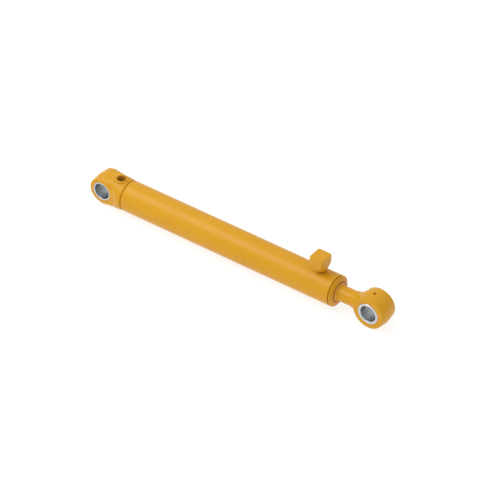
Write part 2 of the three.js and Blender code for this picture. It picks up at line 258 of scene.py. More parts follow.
def skin_of(name, field, low, high, step):
    """The surface where a field of x, y, z is zero, as quads near each crossing (surface nets).

    The field is negative inside. Each vertex is then moved onto the surface along the field's slope."""
    counts = [int(math.ceil((end - start) / step)) + 1 for start, end in zip(low, high)]
    ticks = [start + step * np.arange(count) for start, count in zip(low, counts)]
    grid = np.meshgrid(*ticks, indexing="ij")
    values = field(*grid)
    inside = values < 0
    cells = [n - 1 for n in counts]
    total = np.zeros((*cells, 3))
    hits = np.zeros(cells)
    crossings = []
    for axis in range(3):
        near = [slice(None)] * 3
        far = [slice(None)] * 3
        near[axis] = slice(0, -1)
        far[axis] = slice(1, None)
        near = tuple(near)
        far = tuple(far)
        crossed = inside[near] != inside[far]
        drop = np.where(crossed, values[near] - values[far], 1)
        share = np.where(crossed, values[near] / drop, 0)
        spots = np.stack([g[near] for g in grid], -1)
        spots[..., axis] += share * step
        spots *= crossed[..., None]
        others = [a for a in range(3) if a != axis]
        for i in (0, 1):
            for k in (0, 1):
                window = [slice(None)] * 3
                window[others[0]] = slice(i, cells[others[0]] + i)
                window[others[1]] = slice(k, cells[others[1]] + k)
                total += spots[tuple(window)]
                hits += crossed[tuple(window)]
        crossings.append((crossed, inside[near]))
    used = hits > 0
    index = np.full(cells, -1)
    index[used] = np.arange(used.sum())
    vertices = total[used] / hits[used][:, None]
    faces = []
    for axis, (crossed, starts_inside) in enumerate(crossings):
        _, first, second = AXES["xyz"[axis]]
        inner = crossed.copy()
        for other in (first, second):
            edge = [slice(None)] * 3
            edge[other] = 0
            inner[tuple(edge)] = False
            edge[other] = -1
            inner[tuple(edge)] = False
        spots = np.argwhere(inner)
        quad = []
        for back_first, back_second in ((1, 1), (0, 1), (0, 0), (1, 0)):
            cell = spots.copy()
            cell[:, first] -= back_first
            cell[:, second] -= back_second
            quad.append(index[tuple(cell.T)])
        quad = np.stack(quad, 1)
        outward = starts_inside[tuple(spots.T)]
        quad[~outward] = quad[~outward][:, ::-1]
        faces.extend(map(tuple, quad.tolist()))
    for _ in range(3):
        vertices = onto_surface(field, vertices, step)
    return new_piece(name, vertices, faces)


def onto_surface(field, vertices, step):
    """Moves points along the field's slope until the field is nearly zero there."""
    small = step * 0.05
    here = field(*vertices.T)
    slope = np.stack(
        [
            (field(*(vertices + d).T) - field(*(vertices - d).T)) / (2 * small)
            for d in np.eye(3) * small
        ],
        -1,
    )
    shift = here[:, None] * slope / np.maximum((slope**2).sum(-1), 1e-6)[:, None]
    return vertices - np.clip(shift, -step, step)


# ---- Materials ---------------------------------------------------------------------------------

class Nodes:
    """Builds one node material round a single Principled shader."""

    def __init__(self, name):
        self.material = bpy.data.materials.new(name)
        self.material.use_nodes = True
        self.tree = self.material.node_tree
        self.shader = self.tree.nodes["Principled BSDF"]
        self.place = self.add("ShaderNodeTexCoord").outputs["Object"]

    def add(self, kind, **settings):
        node = self.tree.nodes.new(kind)
        for key, value in settings.items():
            setattr(node, key, value)
        return node

    def plug(self, node, inputs):
        """Sets a node's sockets from values, or links them from other nodes' outputs."""
        for key, value in inputs.items():
            if isinstance(value, bpy.types.NodeSocket):
                self.tree.links.new(value, node.inputs[key])
            else:
                node.inputs[key].default_value = value
        return node

    def noise(self, scale, detail=3, place=None, roughness=0.5):
        node = self.add("ShaderNodeTexNoise")
        settings = {"Scale": scale, "Detail": detail, "Roughness": roughness}
        self.plug(node, {"Vector": place or self.place, **settings})
        return node.outputs["Fac"]

    def maths(self, operation, first, second=0.0):
        node = self.add("ShaderNodeMath", operation=operation)
        self.plug(node, {0: first, 1: second})
        return node.outputs[0]

    def ranged(self, value, low, high, to_low=0.0, to_high=1.0):
        node = self.add("ShaderNodeMapRange")
        limits = {"From Min": low, "From Max": high, "To Min": to_low, "To Max": to_high}
        self.plug(node, {"Value": value, **limits})
        return node.outputs["Result"]

    def mixed(self, share, first, second):
        node = self.add("ShaderNodeMix", data_type="RGBA")
        self.plug(node, {0: share, 6: first, 7: second})
        return node.outputs[2]

    def bumps(self, *layers):
        """Bump layers, each as (height, depth in metres)."""
        normal = None
        for height, depth in layers:
            node = self.add("ShaderNodeBump")
            self.plug(node, {"Height": height, "Distance": depth, "Strength": 1.0})
            if normal is not None:
                self.plug(node, {"Normal": normal})
            normal = node.outputs["Normal"]
        self.plug(self.shader, {"Normal": normal})

    def radius_about(self, axis, centre):
        """Distance of a point from a line along an axis through centre."""
        moved = self.add("ShaderNodeVectorMath", operation="SUBTRACT")
        self.plug(moved, {0: self.place, 1: centre})
        flat = self.add("ShaderNodeVectorMath", operation="MULTIPLY")
        mask = [1.0, 1.0, 1.0]
        mask["xyz".index(axis)] = 0.0
        self.plug(flat, {0: moved.outputs[0], 1: mask})
        length = self.add("ShaderNodeVectorMath", operation="LENGTH")
        self.plug(length, {0: flat.outputs[0]})
        return length.outputs["Value"]

    def along(self, axis):
        """A point's coordinate on an axis."""
        split = self.add("ShaderNodeSeparateXYZ")
        self.plug(split, {0: self.place})
        return split.outputs["xyz".index(axis)]


# Colours of film, metal and rubber
PAINT = (0.645, 0.312, 0.010, 1)
PAINT_DEEP = (0.575, 0.262, 0.003, 1)
PAINT_LIGHT = (0.690, 0.352, 0.016, 1)
# Paint darkened as painted shade, for grooves, seams and the insides of ports
PAINT_IN_PAINTED_SHADE = (0.40, 0.165, 0.002, 1)
BUSHING_STEEL = (0.62, 0.65, 0.70)
MACHINED_STEEL = (0.45, 0.46, 0.47)
# Honed steel, made darker as painted shade for the inside of a bore
HONED_STEEL_IN_PAINTED_SHADE = (0.43, 0.455, 0.46, 1)
STEEL_STAIN = (0.34, 0.35, 0.36, 1)
CHROME = (0.66, 0.67, 0.69, 1)
CHROME_GROUND = (0.58, 0.59, 0.61, 1)
WIPER_RED = (0.26, 0.035, 0.04, 1)


def paint_colour(m):
    """Yellow enamel whose film is a little thicker here and thinner there."""
    drift = m.ranged(m.noise(14, 4), 0.35, 0.65)
    cloud = m.ranged(m.noise(110, 3), 0.3, 0.7)
    colour = m.mixed(m.maths("MULTIPLY", drift, 0.35), PAINT, PAINT_LIGHT)
    return m.mixed(m.maths("MULTIPLY", cloud, 0.22), colour, PAINT_DEEP)


def painted(name, casting=0.0, crevice_shade=None):
    """Satin enamel with orange peel, and with the grain of a forging under it if casting is over 0.

    The last argument, if given, is a function of the nodes that returns where painted shade darkens
    grooves, seams and port bores."""
    m = Nodes(name)
    dust = m.ranged(m.noise(900, 2), 0.62, 0.75)
    roughness = m.ranged(m.noise(60, 4), 0.3, 0.7, 0.29, 0.38)
    colour = m.mixed(m.maths("MULTIPLY", dust, 0.18), paint_colour(m), PAINT_LIGHT)
    if crevice_shade:
        # Painted shade: darkens the paint towards deep brown where the given share says
        colour = m.mixed(crevice_shade(m), colour, PAINT_IN_PAINTED_SHADE)
    m.plug(
        m.shader,
        {
            "Base Color": colour,
            "Roughness": m.maths("ADD", roughness, m.maths("MULTIPLY", dust, 0.06)),
            "Specular IOR Level": 0.23,
        },
    )
    layers = [(m.noise(700, 2), 0.05 * MM), (m.noise(90, 3), 0.12 * MM)]
    if casting:
        layers.append((m.noise(320, 5, roughness=0.62), casting))
    m.bumps(*layers)
    return m.material


def turned_steel(name, axis, centre, colour=BUSHING_STEEL, roughness=0.24, bore=0.0):
    """Bright steel with the fine rings of the lathe on its faces, and a darker wall inside bore: honed,
    and darkened as painted shade.
    """
    m = Nodes(name)
    radius = m.radius_about(axis, centre)
    rings = m.noise(3200, 2, place=combined(m, radius))
    feed = m.noise(2600, 2, place=combined(m, m.along(axis)))
    smear = m.noise(160, 4)
    shade = m.mixed(m.ranged(rings, 0.35, 0.65), (*colour, 1), darker(colour, 0.86))
    if bore:
        # Inside the bore the steel is honed and darkened with painted shade.
        in_bore = m.ranged(radius, bore + 0.5 * MM, bore + 0.1 * MM)
        shade = m.mixed(in_bore, shade, HONED_STEEL_IN_PAINTED_SHADE)
    stain = m.maths("MULTIPLY", m.ranged(smear, 0.5, 0.8), 0.3)
    m.plug(
        m.shader,
        {
            "Base Color": m.mixed(stain, shade, STEEL_STAIN),
            "Metallic": 1.0,
            "Roughness": m.ranged(smear, 0.25, 0.75, roughness - 0.05, roughness + 0.1),
        },
    )
    m.bumps((rings, 0.010 * MM), (feed, 0.008 * MM))
    return m.material


def darker(colour, share):
    return tuple(channel * share for channel in colour) + (1,)


def combined(m, value):
    """A vector that only holds one changing number, for noise in one direction."""
    node = m.add("ShaderNodeCombineXYZ")
    m.plug(node, {0: value})
    return node.outputs[0]


def moulded(name, colour, roughness=0.5, grain=500, depth=0.03):
    """Rubber or plastic with a slightly uneven tint and a fine moulded grain."""
    m = Nodes(name)
    tint = m.ranged(m.noise(grain / 3, 4), 0.3, 0.7)
    m.plug(
        m.shader,
        {
            "Base Color": m.mixed(tint, (*colour, 1), darker(colour, 0.7)),
            "Roughness": m.ranged(m.noise(grain, 3), 0.3, 0.7, roughness - 0.06, roughness + 0.08),
        },
    )
    m.bumps((m.noise(grain * 3, 2), depth * MM))
    return m.material


def chromed(name):
    """Ground and polished hard chrome: almost a mirror, with very fine grinding marks round the rod."""
    m = Nodes(name)
    marks = m.noise(6000, 2, place=combined(m, m.along("x")))
    m.plug(
        m.shader,
        {
            "Base Color": m.mixed(m.ranged(marks, 0.3, 0.7), CHROME, CHROME_GROUND),
            "Metallic": 1.0,
            "Roughness": m.ranged(m.noise(240, 3), 0.3, 0.7, 0.08, 0.16),
        },
    )
    m.bumps((marks, 0.004 * MM))
    return m.material


def wiper_material(inner, outer):
    """A dark red lip seal, covered with overspray inside the inner radius and clean outside the outer."""
    m = Nodes("wiper_seal")
    radius = m.radius_about("x", (0, 0, 0))
    wander = m.maths("MULTIPLY", m.maths("SUBTRACT", m.noise(400, 3), 0.5), 0.8 * MM)
    covered = m.ranged(m.maths("ADD", radius, wander), outer, inner)
    m.plug(
        m.shader,
        {
            "Base Color": m.mixed(covered, WIPER_RED, paint_colour(m)),
            "Roughness": m.ranged(covered, 0, 1, 0.55, 0.42),
        },
    )
    m.bumps((m.noise(1500, 2), 0.03 * MM))
    return m.material


def round_the_boss(m):
    """The share of painted shade on the base cap: in the crease where the port's boss meets it, and inside
    the port.
    """
    radius = m.radius_about("z", (BASE_PORT_X, 0, 0))
    from_foot = m.maths("SUBTRACT", radius, BASE_BOSS_FOOT_RADIUS + 0.3 * MM)
    crease = m.ranged(m.maths("ABSOLUTE", from_foot), 0.9 * MM, 0.3 * MM)
    bore = m.ranged(radius, PORT_RADIUS + 0.7 * MM, PORT_RADIUS + 0.2 * MM)
    above = m.ranged(m.along("z"), 10 * MM, 14 * MM)
    return m.maths("MULTIPLY", above, m.maths("MAXIMUM", bore, m.maths("MULTIPLY", crease, 0.6)))


def uneven(most, least):
    """A share of painted shade for a whole piece, whose strength changes from place to place."""
    return lambda m: m.ranged(m.noise(220, 3), 0.2, 0.9, most, least)


def in_gland_groove(m):
    """1 in the groove between the barrel's end and the gland's flange, where the paint gets painted shade.
    """
    return m.ranged(m.along("x"), GLAND_FLANGE_X + 0.1 * MM, GLAND_FLANGE_X - 0.3 * MM)


FORGING_GRAIN = 0.10 * MM

MATERIALS = {
    "paint": painted("yellow_paint"),
    "forged_paint": painted("yellow_paint_on_forging", casting=FORGING_GRAIN),
    # These four paints darken grooves, seams and port bores with painted shade
    "cap_paint": painted("yellow_paint_on_base_cap", casting=FORGING_GRAIN, crevice_shade=round_the_boss),
    "paint_in_painted_shade": painted("yellow_paint_in_crevice", crevice_shade=uneven(1.0, 0.6)),
    "seam_paint": painted("yellow_paint_in_seam", crevice_shade=uneven(0.75, 0.4)),
    "gland_paint": painted("yellow_paint_on_gland", crevice_shade=in_gland_groove),
    "base_bushing": turned_steel("base_bushing_steel", "y", (0, 0, 0), bore=PIN_BORE_RADIUS),
    "rod_bushing": turned_steel("rod_bushing_steel", "y", (ROD_PIN_X, 0, 0), bore=PIN_BORE_RADIUS),
    "machined": turned_steel("machined_steel", "x", (0, 0, 0), MACHINED_STEEL, 0.3),
    "chrome": chromed("rod_chrome"),
    "rubber": moulded("seal_rubber", (0.013, 0.013, 0.014), 0.6),
    "urethane": moulded("seal_urethane", (0.03, 0.12, 0.34), 0.42),
    "guide": moulded("guide_plastic", (0.25, 0.10, 0.035), 0.55, grain=900, depth=0.05),
    "wiper": wiper_material(17.6 * MM, 18.1 * MM),
}


def finish_piece(piece, material, body, node):
    """Gives a piece its material, hides the CAD node it stands for and attaches it to the body it rides
    on.
    """
    piece.data.materials.clear()
    piece.data.materials.append(MATERIALS[material])
    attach(piece, body)
    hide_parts(node)
    return piece


# ---- Camera, floor and light -------------------------------------------------------------------

VIEW_AZIMUTH = math.radians(36.21)
VIEW_ELEVATION = math.radians(38.77)
VIEW_DISTANCE = 6.536
LENS = 270.4
SENSOR = 36.0
AIM_RIGHT = 0.1 * MM
AIM_UP = -0.3 * MM

FLOOR_HALF_SIZE = 6.0
FLOOR_GLOW = 0.80
SKY_SLOPE = (-0.06, 0, 0.40)
SKY_LEVEL = 0.56
SOFTBOX_DIRECTION = (-0.44, -0.36, 0.82)
SOFTBOX_DISTANCE = 2.2
SOFTBOX_SIZE = (2.0, 0.8)
SOFTBOX_POWER = 21


def view_direction():
    """From the object to the camera."""
    level = math.cos(VIEW_ELEVATION)
    right = math.sin(VIEW_AZIMUTH) * level
    forward = -math.cos(VIEW_AZIMUTH) * level
    return Vector((right, forward, math.sin(VIEW_ELEVATION)))


def make_camera():
    data = bpy.data.cameras.new("camera")
    data.lens = LENS
    data.sensor_width = SENSOR
    data.clip_start = 0.1
    data.clip_end = 100
    camera = bpy.data.objects.new("camera", data)
    bpy.context.scene.collection.objects.link(camera)
    back = view_direction()
    turn = (-back).to_track_quat("-Z", "Y")
    aim = (cad_low + cad_high) / 2 + turn @ Vector((AIM_RIGHT, AIM_UP, 0))
    camera.location = aim + back * VIEW_DISTANCE
    camera.rotation_mode = "QUATERNION"
    camera.rotation_quaternion = turn
    bpy.context.scene.camera = camera


def make_floor():
    """A plain pale floor at the object's lowest point. It glows a little, so shadows on it stay faint."""
    half = FLOOR_HALF_SIZE
    corners = [(-half, -half), (half, -half), (half, half), (-half, half)]
    floor = new_piece("floor", [(x, y, cad_low.z) for x, y in corners], [(0, 1, 2, 3)])
    m = Nodes("floor")
    m.plug(
        m.shader,
        {
            "Base Color": m.mixed(m.noise(3, 2), (0.27, 0.27, 0.27, 1), (0.25, 0.25, 0.25, 1)),
            "Roughness": 0.9,
            "Specular IOR Level": 0.1,
            "Emission Color": (1, 1, 1, 1),
            "Emission Strength": FLOOR_GLOW,
        },
    )
    floor.data.materials.append(m.material)


def make_softbox():
    """One broad softbox above, over towards the rear pin and the -Y side."""
    data = bpy.data.lights.new("softbox", "AREA")
    data.shape = "RECTANGLE"
    data.size, data.size_y = SOFTBOX_SIZE
    data.energy = SOFTBOX_POWER
    light = bpy.data.objects.new("softbox", data)
    bpy.context.scene.collection.objects.link(light)
    away = Vector(SOFTBOX_DIRECTION).normalized()
    light.location = (cad_low + cad_high) / 2 + away * SOFTBOX_DISTANCE
    light.rotation_mode = "QUATERNION"
    light.rotation_quaternion = (-away).to_track_quat("-Z", "Y")


def make_sky():
    """A white light tent, brighter overhead."""
    scene = bpy.context.scene
    scene.view_settings.view_transform = "Standard"
    world = bpy.data.worlds.new("world")
    world.use_nodes = True
    tree = world.node_tree
    direction = tree.nodes.new("ShaderNodeTexCoord").outputs["Generated"]
    slope = tree.nodes.new("ShaderNodeVectorMath")
    slope.operation = "DOT_PRODUCT"
    tree.links.new(direction, slope.inputs[0])
    slope.inputs[1].default_value = SKY_SLOPE
    dome = tree.nodes.new("ShaderNodeMath")
    dome.operation = "ADD"
    dome.inputs[1].default_value = SKY_LEVEL
    tree.links.new(slope.outputs["Value"], dome.inputs[0])
    background = tree.nodes["Background"]
    background.inputs["Color"].default_value = (1, 1, 1, 1)
    tree.links.new(dome.outputs[0], background.inputs["Strength"])
    scene.world = world


make_camera()
make_floor()
make_softbox()
make_sky()


# ---- Barrel ------------------------------------------------------------------------------------

def cross_bore(name, start, end, radius, x, sides=48):
    """A cutter for a drilled hole along Z at a place on the X axis, from start to end."""
    return turned(name, [(start, 0), (start, radius), (end, radius), (end, 0)], "z", (x, 0, 0), sides)


def make_barrel_tube():
    """The tube, with the head port's passage drilled through its wall."""
    edge = 1.2 * MM
    outline = rounded(
        [
            (tube_low.x, BORE_RADIUS, 0.4 * MM),
            (tube_low.x, BARREL_RADIUS, edge),
            (tube_high.x, BARREL_RADIUS, edge),
            (tube_high.x, BORE_RADIUS, 0.4 * MM),
        ]
    )
    tube = turned("barrel_tube_skin", outline, sides=192)
    hole = cross_bore("hole", BORE_RADIUS - 4 * MM, BARREL_RADIUS + MM, PASSAGE_RADIUS, BLOCK_X)
    keep_flats_flat(cut(tube, hole))
    finish_piece(tube, "paint", "barrel", "barrel_tube")


def bead(name, sides, spot, section, ripples, ripple_height, slant):
    """A closed weld bead with a rippled crest.

    spot(angle, across, out) places a point, and section lists (across, out, ripple share)."""
    reach = [across for across, _, _ in section]
    width = max(reach) - min(reach)
    vertices = []
    for k in range(sides):
        angle = k * TAU / sides
        for across, out, share in section:
            phase = angle * ripples + slant * (across / width) ** 2
            crest = abs(math.sin(phase / 2)) ** 0.6
            vertices.append(spot(angle, across, out + ripple_height * share * (crest - 1)))
    count = len(section)
    faces = []
    for k in range(sides):
        here = k * count
        ahead = (k + 1) % sides * count
        for i in range(count):
            n = (i + 1) % count
            faces.append((here + i, ahead + i, ahead + n, here + n))
    piece = new_piece(name, vertices, faces, 60)
    turn_outwards(piece)
    return piece


def make_base_weld():
    """The weld that fills the groove between the base cap and the tube."""
    half = (tube_low.x - SHOULDER_X) / 2
    middle = SHOULDER_X + half
    top = seam_high.z + 0.5 * MM
    points = [(-half, top - 2 * MM, 0), (-half, top - 0.2 * MM, 0)]
    steps = 8
    for i in range(1, steps):
        across = -half + 2 * half * i / steps
        points.append((across, top + 0.25 * MM * math.cos(math.pi / 2 * across / half), 1))
    points += [(half, top - 0.2 * MM, 0), (half, top - 2 * MM, 0)]

    def spot(angle, across, out):
        return middle + across, out * math.cos(angle), out * math.sin(angle)

    weld = bead("base_weld_bead", 720, spot, points, 90, 0.18 * MM, 2.5)
    # The seam's paint is darkened with painted shade.
    finish_piece(weld, "seam_paint", "barrel", "base_weld")


# ---- Base cap ----------------------------------------------------------------------------------

def eye_field(x, y, z, ridge_radius, face_radius, half_width, edge):
    """A forged eye about Y: drafted sides that meet in a soft ridge, and flat faces."""
    out = np.sqrt(x * x + z * z)
    draft = math.atan2(ridge_radius - face_radius, half_width)
    softness = 1.6 * MM
    across = np.sqrt(y * y + softness**2) - softness
    sides = (out - ridge_radius) * math.cos(draft) + across * math.sin(draft)
    faces = np.abs(y) - half_width
    return smooth_max(sides, faces, edge)


def port_cutter(name, top, axis, centre, direction=1):
    """The thread's bore with a chamfered mouth, from above the face down to the thread's floor."""
    chamfer = 0.9 * MM
    past = 0.3 * MM
    mouth = PORT_RADIUS + chamfer + past
    outline = [
        (top - direction * PORT_DEPTH, 0),
        (top - direction * PORT_DEPTH, PORT_RADIUS),
        (top - direction * chamfer, PORT_RADIUS),
        (top + direction * past, mouth),
        (top + direction * 2 * MM, mouth),
        (top + direction * 2 * MM, 0),
    ]
    return turned(name, outline, axis, centre, 96)


NECK_WIDENS = (18 * MM, 46 * MM)
NECK_RISES = (-8 * MM, 24 * MM)
NECK_ROUNDS_FROM = 20 * MM
NECK_FIRST_CORNER = 10 * MM
NECK_CORNER_GROWTH = 0.8
BOSS_HEIGHT = 2.6 * MM


def neck_field(x, y, z):
    """A rounded rectangle that grows along X from the eye's section into the barrel's circle."""
    half_width = EYE_HALF_WIDTH + (BARREL_RADIUS - EYE_HALF_WIDTH) * eased(*NECK_WIDENS, x)
    half_height = BASE_EYE_RADIUS + (BARREL_RADIUS - BASE_EYE_RADIUS) * eased(*NECK_RISES, x)
    corner = NECK_FIRST_CORNER + NECK_CORNER_GROWTH * (x - NECK_ROUNDS_FROM)
    corner = np.clip(corner, NECK_FIRST_CORNER, BARREL_RADIUS)
    past_y = np.abs(y) - (half_width - np.minimum(corner, half_width))
    past_z = np.abs(z) - (half_height - np.minimum(corner, half_height))
    outside = np.sqrt(np.maximum(past_y, 0) ** 2 + np.maximum(past_z, 0) ** 2)
    neck = outside + np.minimum(np.maximum(past_y, past_z), 0) - corner
    return smooth_max(neck, -x, 1 * MM)


def boss_field(x, y, z):
    """The round raised boss of the base port, slightly drafted."""
    draft = (BASE_BOSS_FOOT_RADIUS - BASE_BOSS_RADIUS) / BOSS_HEIGHT
    around = np.sqrt((x - BASE_PORT_X) ** 2 + y * y)
    wall = (around - BASE_BOSS_RADIUS + (z - PORT_TOP_Z) * draft) * math.cos(math.atan(draft))
    boss = smooth_max(wall, around - BASE_BOSS_FOOT_RADIUS, 0.6 * MM)
    boss = smooth_max(boss, z - PORT_TOP_Z, 0.8 * MM)
    return np.maximum(boss, -z)


def make_base_cap():
    """The forged base: eye, neck and boss, with the bushing's bore, the port and its passage cut out."""
    face_radius = BASE_EYE_RADIUS - 1.9 * MM
    low = (cap_low.x - 2 * MM, -BARREL_RADIUS - 3 * MM, -BARREL_RADIUS - 3 * MM)
    high = (SHOULDER_X + 2 * MM, BARREL_RADIUS + 3 * MM, PORT_TOP_Z + 3 * MM)

    def field(x, y, z):
        eye = eye_field(x, y, z, BASE_EYE_RADIUS, face_radius, EYE_HALF_WIDTH, 1.3 * MM)
        body = smooth_min(eye, neck_field(x, y, z), 5 * MM)
        body = smooth_min(body, boss_field(x, y, z), 0.7 * MM)
        return smooth_max(body, x - SHOULDER_X, 2.0 * MM)

    cap = skin_of("base_cap_forging", field, low, high, 0.8 * MM)
    bush_radius = base_bush_high.x
    bore = turned("bore", through_bore(bush_radius, EYE_HALF_WIDTH), "y", sides=128)
    port = port_cutter("port", PORT_TOP_Z, "z", (BASE_PORT_X, 0, 0))
    passage = cross_bore("passage", 0, PORT_TOP_Z, PASSAGE_RADIUS, BASE_PORT_X)
    cut(cap, bore, port, passage)
    finish_piece(cap, "cap_paint", "barrel", "base_cap")


def through_bore(radius, half_width):
    """A bore right through an eye, with a small chamfer at both ends."""
    chamfer = 0.5 * MM
    past = 0.2 * MM
    mouth = radius + chamfer + past
    end = half_width + 3 * MM
    return [
        (-end, 0),
        (-end, mouth),
        (-half_width - past, mouth),
        (-half_width + chamfer, radius),
        (half_width - chamfer, radius),
        (half_width + past, mouth),
        (end, mouth),
        (end, 0),
    ]


def make_thread(name, top, axis, centre, direction, node):
    """The spiral thread that lines a port, as a closed sleeve that starts just under the mouth."""
    depth = 0.75 * MM
    length = PORT_DEPTH - 1.5 * MM
    sides = 72
    steps_per_turn = 8
    fade_turns = 1.2
    rows = int(length / THREAD_PITCH * steps_per_turn)
    along_axis, first, second = AXES[axis]

    def place(sunk, k, radius):
        angle = k * TAU / sides
        point = np.array(centre, float)
        point[along_axis] += top - direction * (1.0 * MM + sunk)
        point[first] += radius * math.cos(angle)
        point[second] += radius * math.sin(angle)
        return point

    vertices = []
    for row in range(rows + 1):
        sunk = length * row / rows
        fade = min(1.0, row / steps_per_turn / fade_turns)
        for k in range(sides):
            turn = (sunk / THREAD_PITCH - k / sides) % 1.0
            crest = 1 - abs(2 * turn - 1)
            vertices.append(place(sunk, k, PORT_RADIUS - 0.02 * MM - depth * crest * fade))
    inner = len(vertices)
    for sunk in (0, length):
        vertices += [place(sunk, k, PORT_RADIUS + 0.15 * MM) for k in range(sides)]
    faces = []
    for row in range(rows):
        here = row * sides
        below = here + sides
        for k in range(sides):
            n = (k + 1) % sides
            faces.append((here + k, here + n, below + n, below + k))
    last = rows * sides
    for k in range(sides):
        n = (k + 1) % sides
        outer_top = inner + k
        outer_end = inner + sides + k
        next_top = inner + n
        next_end = inner + sides + n
        faces.append((outer_top, outer_end, next_end, next_top))
        faces.append((k, outer_top, next_top, n))
        faces.append((last + k, last + n, next_end, outer_end))
    thread = new_piece(name, vertices, faces, 50)
    turn_outwards(thread)
    # The thread's paint is darkened with painted shade, as inside the port.
    finish_piece(thread, "paint_in_painted_shade", "barrel", node)


# ---- Bushings ----------------------------------------------------------------------------------

def make_bushing(name, low, high, body, node, material, grease_hole=False):
    """A turned steel sleeve, chamfered inside and out at both ends."""
    centre = ((low.x + high.x) / 2, 0, 0)
    outer = (high.x - low.x) / 2
    half = high.y
    chamfer = 0.9 * MM
    fillet = 0.15 * MM
    outline = rounded(
        [
            (-half, PIN_BORE_RADIUS + chamfer, fillet),
            (-half, outer - 0.3 * MM, fillet),
            (-half + 0.4 * MM, outer, fillet),
            (half - 0.4 * MM, outer, fillet),
            (half, outer - 0.3 * MM, fillet),
            (half, PIN_BORE_RADIUS + chamfer, fillet),
            (half - chamfer, PIN_BORE_RADIUS, fillet),
            (-half + chamfer, PIN_BORE_RADIUS, fillet),
        ],
        2,
    )
    bushing = turned(name, outline, "y", centre, 128)
    if grease_hole:
        hole = cross_bore("hole", 0, outer + MM, GREASE_HOLE_RADIUS / 2, centre[0], 32)
        cut(bushing, hole)
    keep_flats_flat(bushing)
    finish_piece(bushing, material, body, node)


# ---- Head port ---------------------------------------------------------------------------------

def make_head_port_block():
    """A square block on a turned, flat-bottomed cone, whose stub sits in the barrel's wall."""
    low = (block_low.x - MM, -BLOCK_HALF_Y - MM, BLOCK_STUB_START - MM)
    high = (block_high.x + MM, BLOCK_HALF_Y + MM, BLOCK_TOP + MM)
    slope = (BLOCK_CORNER_REACH - BLOCK_CONE_RADIUS) / (BLOCK_CONE_TOP - BLOCK_CONE_START)

    def field(x, y, z):
        across = x - BLOCK_X
        around = np.sqrt(across**2 + y * y)
        square = smooth_max(np.abs(across) - BLOCK_HALF_X, np.abs(y) - BLOCK_HALF_Y, 0.6 * MM)
        body = smooth_max(square, around - BLOCK_CORNER_REACH, 0.6 * MM)
        cone_radius = BLOCK_CONE_RADIUS + slope * (z - BLOCK_CONE_START)
        cone = (around - cone_radius) * math.cos(math.atan(slope))
        body = smooth_max(body, cone, 0.6 * MM)
        body = smooth_max(body, z - BLOCK_TOP, 1.2 * MM)
        body = smooth_max(body, BLOCK_CONE_START - z, 0.6 * MM)
        stub = np.maximum(around - BLOCK_STUB_RADIUS, z - BLOCK_CONE_START - 3 * MM)
        saddle = BARREL_RADIUS + 0.1 * MM - np.sqrt(y * y + z * z)
        return np.maximum(np.minimum(body, stub), saddle)

    block = skin_of("head_port_block_skin", field, low, high, 0.5 * MM)
    port = port_cutter("port", block_low.x, "x", (0, 0, HEAD_PORT_Z), -1)
    passage = cross_bore("passage", BLOCK_STUB_START - MM, HEAD_PORT_Z, PASSAGE_RADIUS, BLOCK_X)
    cut(block, port, passage)
    finish_piece(block, "paint", "barrel", "head_port_block")


def make_head_port_weld():
    """The bead round the block's stub, between the barrel and the underside of the cone."""
    leg = 1.9 * MM
    section = [(-0.2 * MM, 0, 0)]
    steps = 8
    for i in range(steps + 1):
        turn = math.pi / 2 * i / steps
        section.append((leg * math.cos(turn), leg * 0.55 * math.sin(turn), math.sin(2 * turn)))

    def spot(angle, across, out):
        around = BLOCK_STUB_RADIUS + across
        y = around * math.sin(angle)
        return BLOCK_X + around * math.cos(angle), y, math.sqrt(BARREL_RADIUS**2 - y * y) + out

    weld = bead("head_port_weld_bead", 240, spot, section, 30, 0.25 * MM, 1.5)
    # The bead's paint is darkened with painted shade, as under the block.
    finish_piece(weld, "paint_in_painted_shade", "barrel", "head_port_weld")


# ---- Gland and wiper ---------------------------------------------------------------------------

def make_gland():
    """The gland's flange and face, with its turned steps, and the nose that holds the seals."""
    flange = gland_high.z
    face = gland_high.x
    start = GLAND_FLANGE_X
    mouth = wiper_high.z + 0.15 * MM
    groove_floor = BARREL_RADIUS - 2.6 * MM
    face_start = start + 1.9 * MM
    slope = (face - face_start) / (flange - mouth - 2.5 * MM)
    nose_end = gland_low.x + GLAND_NOSE_LENGTH
    thread_radius = BORE_RADIUS - 0.1 * MM
    inner = ROD_RADIUS + 0.6 * MM
    outline = [
        (gland_low.x, inner, 0.2 * MM),
        (gland_low.x, GLAND_NOSE_RADIUS, 0.8 * MM),
        (nose_end, GLAND_NOSE_RADIUS),
        (nose_end, thread_radius),
        (tube_high.x - 0.3 * MM, thread_radius),
        (tube_high.x - 0.3 * MM, groove_floor),
        (start, groove_floor, 0.3 * MM),
        (start, flange, 0.3 * MM),
        (start + 1.3 * MM, flange, 0.5 * MM),
        (face_start, flange - 0.8 * MM, 0.4 * MM),
    ]
    for drop in (4.2 * MM, 8.0 * MM):
        along = face_start + slope * drop
        outline += [
            (along - 0.05 * MM, flange - drop + 0.5 * MM, 0.15 * MM),
            (along - 0.65 * MM, flange - drop + 0.1 * MM, 0.15 * MM),
            (along + 0.1 * MM, flange - drop - 0.5 * MM, 0.2 * MM),
        ]
    outline += [
        (face, mouth + 1.0 * MM, 0.4 * MM),
        (face - 0.2 * MM, mouth, 0.2 * MM),
        (wiper_low.x, mouth),
        (wiper_low.x, inner),
    ]
    gland = turned("gland_skin", rounded(outline, 3), sides=160)
    keep_flats_flat(gland)
    finish_piece(gland, "gland_paint", "barrel", "gland")


